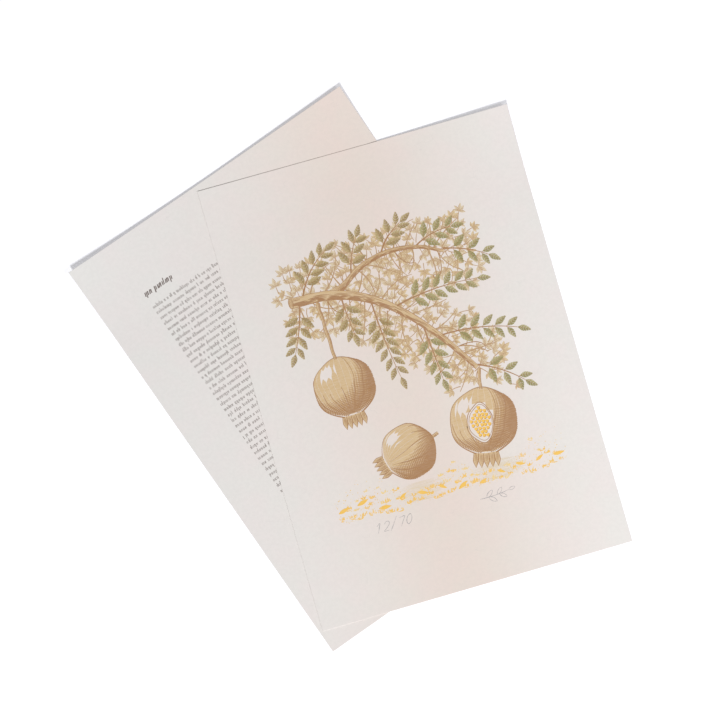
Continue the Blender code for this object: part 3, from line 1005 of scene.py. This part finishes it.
def draw_crown(globe, tone, lines, chance):
    """The toothed crown: a tone on each tooth, its edges, and short lines up from its foot."""
    pitch = 2 * CROWN_HALF_WIDTH / (CROWN_TEETH - 1)
    for tooth in sorted(range(CROWN_TEETH), key=lambda number: -abs(number - 2)):
        aside = mix(-CROWN_HALF_WIDTH, CROWN_HALF_WIDTH, tooth / (CROWN_TEETH - 1))
        lean = aside * 0.10
        half = pitch * 0.46
        outline = ((aside - half, CROWN_FOOT), (aside - half * 1.1 + lean, CROWN_NOTCH),
                   (aside + lean, CROWN_TIP), (aside + half * 1.1 + lean, CROWN_NOTCH),
                   (aside + half, CROWN_FOOT))
        points = globe.plane(*np.array(outline).T)
        tone.patch(points)
        for start, heavy in ((0, 0.55), (2, 1.0)):
            edge = even(points[start:start + 3], 9)
            lines.stroke(edge, heavy * MM * swell(9, 0.35) * tremble(chance, 9, 0.2))
        for share in (-0.42, 0.0, 0.42):
            along = np.linspace(CROWN_FOOT + 0.02, CROWN_NOTCH + 0.10 * (1 - abs(share)), 6)
            line = globe.plane(np.full(6, aside + half * share) + lean * 0.5, along)
            lines.stroke(line, (0.55 + 0.25 * share) * MM * swell(6, 0.15, 0.3))


def draw_stalk(globe, tone, lines, chance):
    run = np.linspace(0.93, 1.0 + globe.stalk / globe.radius + 0.03, 26)
    path = globe.plane(0.010 * np.sin(run * 9.0), -run)
    tone.stroke(path, STALK_WIDTH * tremble(chance, 26, 0.08))
    for offset, width in STALK_LINES:
        shift = left_of(headings(path)) * (STALK_WIDTH * offset)
        lines.stroke(path + shift, width * tremble(chance, 26, 0.3))


def draw_seeds(globe, opening, seeds, lines, chance):
    """Seeds packed in the split, each with its shaded side, inside a double rim."""
    for scale, width in RIMS:
        rim = opening * scale
        around = np.vstack((rim, rim[:2]))
        lines.stroke(globe.plane(*around.T), width * tremble(chance, len(around), 0.3, 3))
    pitch = SEED_PITCH / globe.radius
    shaded = ways(np.linspace(-1.2, 1.5, 8) + math.radians(35)) * pitch * 0.38
    for row in range(-7, 8):
        for column in range(-6, 7):
            middle = np.array(((column + row % 2 / 2) * pitch, row * pitch * 0.86))
            middle += chance.uniform(-SEED_JITTER, SEED_JITTER, 2)
            if inside(middle[None], opening * SEED_REACH)[0]:
                turn = full_turn(12) + chance.uniform(-0.2, 0.2)
                reach = pitch * 0.45 * (1.0 + 0.16 * np.cos(turn * 3 + chance.uniform(0, 3)))
                seeds.patch(globe.plane(*(middle + ways(turn) * reach[:, None]).T))
                lines.stroke(globe.plane(*(middle + shaded).T), 0.62 * MM * swell(8, 0.15))


# Ground

# The ground's left and right ends, and its lowest and highest places
GROUND_SPAN, GROUND_DEPTH = (0.052, 0.306), (0.098, 0.146)

# Rows of tufts: height on the sheet, how many, how wide and tall each is, how many are in strong ink
TUFT_ROWS = (
    (0.1070, 32, 3.6 * MM, 5.2 * MM, 0.95),
    (0.1160, 28, 3.4 * MM, 4.4 * MM, 0.60),
    (0.1255, 22, 3.2 * MM, 3.6 * MM, 0.30),
    (0.1345, 13, 3.0 * MM, 2.8 * MM, 0.10),
)
SPECKS, STRONG_SPECKS = 460, 0.45
SHADOW_LINES, SHADOW_SPAN, SHADOW_MIDDLE, SHADOW_HALF = 20, (0.106, 0.127), 0.116, 0.012


def petal_facts():
    """Middle, angle and size of each petal, by the rule that the solids follow."""
    chance = random.Random(PETAL_SEED)
    for number in range(PETALS):
        middle = mix(*np.array(PETAL_ROW), number / (PETALS - 1))
        middle[1] += chance.uniform(*PETAL_RISE)
        angle = chance.uniform(-PETAL_LEAN, PETAL_LEAN)
        yield middle, angle, chance.uniform(*PETAL_SCALE)


def draw_petal(ink, middle, angle, size, chance):
    """A petal in three to five slivers that meet at its foot."""
    slivers = int(chance.integers(3, 6))
    ahead, aside = way(angle), left_of(way(angle))
    for sliver in range(slivers):
        side = mix(-0.72, 0.72, (sliver + 0.5) / slivers)
        run = np.linspace(-0.48, 0.50 - 0.14 * abs(side) + chance.uniform(-0.05, 0.02), 9)
        taper = 1.0 - PETAL_TAPER * 2 * run
        bow = np.cos(run * math.pi * 0.96)
        path = middle + np.outer(run, ahead) * PETAL_LENGTH * size
        path = path + np.outer(side * 0.5 * bow * taper, aside) * PETAL_WIDTH * size
        width = PETAL_WIDTH * size / slivers * 0.86
        ink.stroke(path, width * swell(9, 0.12, chance.uniform(0.35, 0.6)))


def on_ground(place):
    return clear_of_fruits([place], 1.40) and GROUND_DEPTH[0] < place[1] < GROUND_DEPTH[1]


def draw_tuft(ink, middle, wide, tall, chance):
    """Short blades that fan up from the ground, over one or two flat strokes."""
    for _ in range(int(chance.integers(8, 15))):
        aside = chance.uniform(-1.0, 1.0)
        start = middle + (aside * wide, chance.uniform(-0.28, 0.06) * tall)
        heading = 80 - 24 * aside + chance.normal(0, 10)
        length = tall * chance.uniform(0.35, 1.15) * (1.0 - 0.35 * abs(aside))
        blade = arc(start, heading, length, chance.uniform(-30, 30), evenly(5))
        ink.stroke(blade, chance.uniform(0.50, 1.0) * MM * swell(5, 0.15, chance.uniform(0.25, 0.5)))
    start = middle + (chance.uniform(-1.1, -0.5) * wide, chance.uniform(-0.35, -0.1) * tall)
    dash = arc(start, chance.normal(2, 6), wide * chance.uniform(1.0, 2.0), chance.uniform(-16, 16),
               evenly(6))
    ink.stroke(dash, chance.uniform(0.6, 1.1) * MM * swell(6, 0.12, chance.uniform(0.3, 0.7)))


def draw_ground(strong, pale, shadow, chance):
    """Rows of tufts and loose specks along the ground, and shadow lines under the fruits."""
    left, right = GROUND_SPAN
    front = TUFT_ROWS[0][0]
    for v, count, wide, tall, share in TUFT_ROWS:
        inset = (v - front) * 0.9
        for number in range(count):
            u = mix(left + inset, right - inset, (number + chance.uniform(0.0, 1.0)) / count)
            middle = np.array((u, v + 1.6 * MM * math.sin(u * 42) + chance.normal(0.0, 1.3) * MM))
            size = chance.uniform(0.55, 1.15)
            ink = strong if chance.random() < share else pale
            if on_ground(middle):
                draw_tuft(ink, middle, wide * size, tall * size, chance)
    for _ in range(SPECKS):
        v = mix(front - 4 * MM, GROUND_DEPTH[1], chance.beta(1.2, 1.9))
        place = np.array((chance.uniform(left - 3 * MM, right + 3 * MM), v))
        if on_ground(place):
            ink = strong if chance.random() < STRONG_SPECKS else pale
            dot = arc(place, chance.uniform(0, 180), chance.uniform(0.5, 1.5) * MM, 0.0, evenly(3))
            ink.stroke(dot, chance.uniform(0.4, 0.85) * MM * swell(3, 0.4))
    for middle, radius, _, _ in FRUITS[1:]:
        for line in range(SHADOW_LINES):
            v = mix(*SHADOW_SPAN, line / SHADOW_LINES)
            half = radius * math.sqrt(max(0.05, 1.0 - ((v - SHADOW_MIDDLE) / SHADOW_HALF) ** 2))
            start = middle[0] - half * (1.0 - chance.uniform(0.0, 0.4))
            stop = middle[0] + half * (1.2 - chance.uniform(0.0, 0.5))
            wave = 0.3 * MM * np.sin(np.linspace(0, 5, 12) + line)
            path = np.column_stack((np.linspace(start, stop, 12), v + wave))
            shadow.stroke(path, 0.50 * MM * swell(12, 0.1) * tremble(chance, 12, 0.4))


# Tendrils

# Limb, share along it, side, reach, turn over its length in degrees
TENDRILS = (
    (0, 0.20, -1, 24 * MM, 200),
    (0, 0.52, -1, 30 * MM, -160),
    (0, 0.90, 1, 34 * MM, -200),
    (1, 0.56, -1, 26 * MM, 190),
    (1, 0.96, -1, 32 * MM, -180),
)


def draw_tendril(tendril, ink, chance):
    """A thin shoot that ends in a coil."""
    limb, along, side, reach, turn = tendril
    base, heading = spray_foot(limb, along, side, 62)
    share = evenly(60)
    coil = np.sign(turn) * 560 * np.clip(share - 0.55, 0, None) ** 1.4
    angle = np.radians(heading + turn * share ** 2 + coil)
    step = reach * 1.9 / 60 * (1.0 - 0.70 * share)
    path = base + np.cumsum(ways(angle) * step[:, None], axis=0)
    ink.stroke(path, np.linspace(1.0, 0.45, 60) * MM * tremble(chance, 60, 0.2))


# Pencil

DIGITS = {
    "1": ((0.10, 0.74), (0.40, 1.00), (0.33, 0.50), (0.28, 0.00)),
    "2": ((0.06, 0.76), (0.26, 0.98), (0.56, 0.92), (0.58, 0.62), (0.30, 0.28), (0.04, 0.03), (0.34, 0.06),
          (0.68, 0.03)),
    "/": ((0.02, -0.16), (0.28, 0.44), (0.56, 1.14)),
    "7": ((0.04, 0.93), (0.32, 0.97), (0.64, 0.98), (0.46, 0.50), (0.30, -0.02)),
    "0": ((0.46, 0.98), (0.18, 0.84), (0.06, 0.40), (0.24, 0.02), (0.52, 0.18), (0.62, 0.62), (0.44, 0.99),
          (0.32, 0.94)),
}
NUMBER = "12/70"
NUMBER_PLACE, NUMBER_HEIGHT, NUMBER_STEP, NUMBER_LEAN = (0.084, 0.0845), 10.5 * MM, 8.6 * MM, 0.30
SPRIG_PLACE, SPRIG_LENGTH, SPRIG_HEADING, SPRIG_BEND = (0.203, 0.0895), 33 * MM, -4, 14

# Leaves of the sprig: which of the stem's 31 places each stands at, and its side
SPRIG_LEAVES = ((7, 1), (9, -1), (18, 1), (20, -1), (30, 0))
PENCIL_LINE = 0.62 * MM


def pencil_stroke(ink, points, chance, stations=26):
    path = smooth(points, stations)
    path += chance.normal(0.0, 0.03 * MM, path.shape)
    ink.stroke(path, PENCIL_LINE * tremble(chance, stations, 0.3) * swell(stations, 0.55, 0.4))


def draw_number(ink, chance):
    for index, figure in enumerate(NUMBER):
        points = np.array(DIGITS[figure]) * NUMBER_HEIGHT
        points[:, 0] += points[:, 1] * NUMBER_LEAN + index * NUMBER_STEP
        points[:, 1] += index * 0.25 * MM + chance.uniform(-0.4, 0.4) * MM
        pencil_stroke(ink, points + NUMBER_PLACE, chance)


def draw_sprig(ink, chance):
    """A small plain sprig: a bent stem with two pairs of open leaves and one leaf at its tip."""
    stem = arc(np.array(SPRIG_PLACE), SPRIG_HEADING, SPRIG_LENGTH, SPRIG_BEND, evenly(31))
    pencil_stroke(ink, stem[::6], chance, 40)
    for index, side in SPRIG_LEAVES:
        angle = SPRIG_HEADING + SPRIG_BEND * index / 30 + side * 40
        length = mix(12.0, 8.5, index / 30) * MM
        for bend in (84, -84):
            edge = arc(stem[index], angle - bend / 2, length, bend, evenly(9))
            pencil_stroke(ink, edge, chance, 20)


# Text sheet

TEXT_MARGIN, TEXT_TOP, ROW_PITCH, TEXT_ROWS = 52.3 * MM, 82.3 * MM, 7.13 * MM, 46
MARK_HEIGHT, TICK_STEP, MARK_GAP, WORD_GAP = 2.55 * MM, 1.00 * MM, 0.48 * MM, 1.40 * MM
TICK, BOWED_TICK, SERIF = 0.51 * MM, 0.45 * MM, 0.30 * MM
SERIF_ENDS = np.array(((-0.45, -0.16), (0.12, 0.06)))
TALL, DEEP = 1.62, 0.50
TALL_SHARE, DEEP_SHARE, SERIF_SHARE = 0.24, 0.12, 0.7

# Marks of upright, slanted and bowed ticks; they stand for no letters
MARKS = ("||", "((", "|/", "|||", "))", "/|", "|", "//", "||")
SLANTS = {"|": 0.0, "/": 0.5, "(": -0.30, ")": 0.30}
WORD_MARKS = (1, 8)
TITLE_DROP, TITLE_SCALE, TITLE_LEAN, TITLE_WEIGHT = 65.6 * MM, 1.68, 0.27, 1.45
TITLE_WORDS = (("|||", "/|"), ("||", "|/|", "||", "//|", "||"))


def mark_length(mark):
    return len(mark) * TICK_STEP + MARK_GAP


def draw_word(ink, place, word, chance, scale=1.0, lean=0.0, weight=1.0):
    """A word of marks from a place on; returns how far it reaches."""
    reach = 0.0
    for mark in word:
        for number, tick in enumerate(mark):
            top = TALL if tick == "|" and chance.random() < TALL_SHARE else chance.uniform(0.92, 1.04)
            bottom = -DEEP if tick == "|" and top < TALL and chance.random() < DEEP_SHARE else 0.0
            bowed = tick in "()"
            share = evenly(4 if bowed else 2)
            shift = SLANTS[tick] * (np.sin(math.pi * share) if bowed else share - 0.5)
            high = mix(bottom, top, share) * MARK_HEIGHT
            path = np.column_stack((reach + (number + 0.5 + shift) * TICK_STEP + high * lean, high)) * scale
            width = (BOWED_TICK if bowed else TICK) * chance.uniform(0.80, 1.10) * scale * weight
            ink.stroke(path + place, width)
            if not bowed and chance.random() < SERIF_SHARE:
                serif = path[-1] + SERIF_ENDS * TICK_STEP * scale
                ink.stroke(serif + place, SERIF * scale * weight)
        reach += mark_length(mark)
    return reach * scale


def draw_row(ink, v, width, chance):
    """A row of words that fills the width, with its spare space shared between the words."""
    words, run = [], 0.0
    while True:
        word = [MARKS[index] for index in chance.integers(0, len(MARKS), chance.integers(*WORD_MARKS))]
        length = sum(mark_length(mark) for mark in word)
        if run + length > width:
            break
        words.append(word)
        run += length + WORD_GAP
    spare = (width - run + WORD_GAP) / max(len(words) - 1, 1)
    u = TEXT_MARGIN
    for word in words:
        u += draw_word(ink, (u, v), word, chance) + WORD_GAP + spare


def draw_title(ink, chance):
    u, v = TEXT_MARGIN, ink.sheet.height - TITLE_DROP - MARK_HEIGHT
    for word in TITLE_WORDS:
        reach = draw_word(ink, (u, v), word, chance, TITLE_SCALE, TITLE_LEAN, TITLE_WEIGHT)
        u += reach + WORD_GAP * TITLE_SCALE


# Studio

CAMERA_PLACE = (-0.00244, -0.01715, 1.24077)
CAMERA_TURN = (1.150, -0.888, -15.985)
CAMERA_FIELD, CAMERA_REACH = 35.0, 20.0
KEY_WAY, KEY_RISE, KEY_DISTANCE, KEY_SIZE, KEY_POWER = -105.9, 42.0, 20.0, 3.7, 2930.0
FILL_PLACE, FILL_SIZE, FILL_POWER = (1.06, -0.70, 1.08), 0.8, 7.5
SKY_LIGHT, FLOOR_GLOW, BACKDROP = 0.352, 0.19, 0.54
FLOOR_SIZE, FLOOR_DROP, FLOOR_COLOUR = 60.0, 0.05 * MM, (0.92, 0.92, 0.975, 1.0)
WHITE = (1.0, 1.0, 1.0, 1.0)


def area_light(name, place, size, power):
    """A round lamp that points at the middle of the sheets."""
    lamp = bpy.data.lights.new(name, "AREA")
    lamp.shape = "DISK"
    lamp.size = size
    lamp.energy = power
    item = put_in_scene(name, lamp)
    item.location = place
    item.rotation_euler = (-Vector(place)).to_track_quat("-Z", "Y").to_euler()


def camera():
    lens = bpy.data.cameras.new("camera")
    lens.angle = math.radians(CAMERA_FIELD)
    lens.clip_end = CAMERA_REACH
    item = put_in_scene("camera", lens)
    item.location = CAMERA_PLACE
    item.rotation_euler = [math.radians(angle) for angle in CAMERA_TURN]
    bpy.context.scene.camera = item


def white_floor():
    shape = bmesh.new()
    bmesh.ops.create_grid(shape, x_segments=1, y_segments=1, size=FLOOR_SIZE)
    bmesh.ops.translate(shape, vec=(0.0, 0.0, -FLOOR_DROP), verts=shape.verts[:])
    floor = put_in_scene("floor", mesh_of("floor", shape))
    material = bpy.data.materials.new("white floor")
    material.use_nodes = True
    feed(material.node_tree, material.node_tree.nodes["Principled BSDF"].inputs, {
        "Base Color": FLOOR_COLOUR, "Roughness": 0.9, "Specular IOR Level": 0.1,
        "Emission Color": WHITE, "Emission Strength": FLOOR_GLOW,
    })
    floor.data.materials.append(material)


def studio():
    camera()
    white_floor()
    side, rise = math.radians(KEY_WAY), math.radians(KEY_RISE)
    key = (math.cos(side) * math.cos(rise), math.sin(side) * math.cos(rise), math.sin(rise))
    area_light("key light", [share * KEY_DISTANCE for share in key], KEY_SIZE, KEY_POWER)
    area_light("right fill", FILL_PLACE, FILL_SIZE, FILL_POWER)
    world = bpy.data.worlds.new("studio")
    world.use_nodes = True
    tree = world.node_tree
    seen = node(tree, "ShaderNodeLightPath").outputs["Is Camera Ray"]
    glow = map_range(tree, seen, {"To Min": SKY_LIGHT, "To Max": BACKDROP})
    feed(tree, tree.nodes["Background"].inputs, {"Color": WHITE, "Strength": glow})
    bpy.context.scene.world = world
    bpy.context.scene.view_settings.view_transform = "Standard"


# Everything together

def make_papers(art, text):
    paper_piece("print_paper_sheet", art, paper_material("print paper"), "print_paper", "print_sheet")
    paper_piece("text_paper_sheet", text, paper_material("text paper"), "text_paper", "text_sheet")


def make_branch(art):
    """Pale leaves behind, then the two limbs, then the sprays and tendrils."""
    pale, golden = Ink(art, BACK_FILM, "pale tan ink"), Ink(art, BACK_FILM, "golden tan ink")
    veins = Ink(art, BACK_LINE_FILM, "line tan ink")
    draw_pale_foliage((pale, golden), veins, np.random.default_rng(41))
    pale.piece("pale_leaves")
    golden.piece("golden_leaves")
    veins.piece("pale_leaf_lines")

    tones = Ink(art, TONE_FILM, "light tan ink")
    for number in range(len(LIMBS)):
        lines = Ink(art, LINE_FILM, "brown ink")
        draw_limb(number, tones, lines, np.random.default_rng(100 + number))
        if number == 0:
            draw_sawn_end(number, tones, lines)
        lines.piece(f"limb_{number + 1}_bark", f"printed_limb_{number + 1}")
    tones.piece("limb_tones")

    shades = {shade: Ink(art, DETAIL_FILM, f"deep {shade} ink") for shade in ("sage", "khaki")}
    twigs = Ink(art, LINE_FILM, "brown ink")
    for number, spray in enumerate(SPRAYS, 1):
        shade = "khaki" if number in KHAKI_SPRAYS else "sage"
        leaves = Ink(art, SHADE_FILM, f"{shade} ink")
        draw_spray(spray, leaves, shades[shade], twigs, np.random.default_rng(200 + number))
        leaves.piece(f"spray_{number:02d}_leaves", f"printed_spray_{number:02d}")
    for shade, ink in shades.items():
        ink.piece(f"{shade}_leaf_shades")
    for tendril in TENDRILS:
        draw_tendril(tendril, twigs, np.random.default_rng(300))
    twigs.piece("twigs")


def make_fruits(art):
    opening = closed(OPENING, 60)
    seeds = Ink(art, SHADE_FILM, "gold ink")
    for number, fruit in enumerate(FRUITS, 1):
        chance = np.random.default_rng(400 + number)
        globe = Globe(*fruit)
        split = opening if number - 1 == OPEN_FRUIT else None
        rind, shade = Ink(art, TONE_FILM, "light tan ink"), Ink(art, SHADE_FILM, "middle tan ink")
        lines, furrows = Ink(art, LINE_FILM, "brown ink"), Ink(art, DETAIL_FILM, "brown ink")
        draw_gores(globe, rind, RIND_GORES, RIND_LIGHT, split)
        draw_gores(globe, shade, SHADE_GORES, SHADE_LIGHT, split)
        draw_hatching(globe, lines, furrows, split, chance)
        draw_fruit_outline(globe, furrows, chance)
        draw_crown(globe, rind, furrows, chance)
        draw_stalk(globe, rind, lines, chance)
        if split is not None:
            draw_seeds(globe, split, seeds, furrows, chance)
        rind.piece(f"fruit_{number}_rind", f"printed_fruit_{number}")
        shade.piece(f"fruit_{number}_shade")
        lines.piece(f"fruit_{number}_hatching")
        furrows.piece(f"fruit_{number}_furrows")
    seeds.piece("fruit_seeds")


def make_ground(art):
    for number, (middle, angle, size) in enumerate(petal_facts(), 1):
        petal = Ink(art, SHADE_FILM, "gold ink")
        draw_petal(petal, middle, angle, size, np.random.default_rng(500 + number))
        petal.piece(f"petal_{number:02d}", f"printed_petal_{number:02d}")
    strong, thin = Ink(art, SHADE_FILM, "gold ink"), Ink(art, TONE_FILM, "pale gold ink")
    shadow = Ink(art, BACK_FILM, "pale tan ink")
    draw_ground(strong, thin, shadow, np.random.default_rng(61))
    strong.piece("ground_strokes")
    thin.piece("ground_pale_strokes")
    shadow.piece("ground_shadows")


def make_pencil(art):
    number, sprig = Ink(art, BACK_FILM, "graphite"), Ink(art, BACK_FILM, "graphite")
    draw_number(number, np.random.default_rng(71))
    draw_sprig(sprig, np.random.default_rng(72))
    number.piece("pencilled_number")
    sprig.piece("pencilled_sprig")


def make_text(text):
    chance = np.random.default_rng(81)
    title = Ink(text, BACK_FILM, "text ink")
    draw_title(title, chance)
    title.piece("text_title")
    halves = np.array_split(np.arange(TEXT_ROWS), 2)
    for name, rows in zip(("upper_text_rows", "lower_text_rows"), halves):
        ink = Ink(text, BACK_FILM, "text ink")
        for row in rows:
            v = text.height - TEXT_TOP - row * ROW_PITCH - MARK_HEIGHT / 2
            draw_row(ink, v, text.width - 2 * TEXT_MARGIN, chance)
        ink.piece(name)


def main():
    studio()
    text = text_sheet()
    art = print_sheet(text)
    make_papers(art, text)
    make_branch(art)
    make_fruits(art)
    make_ground(art)
    make_pencil(art)
    make_text(text)


main()
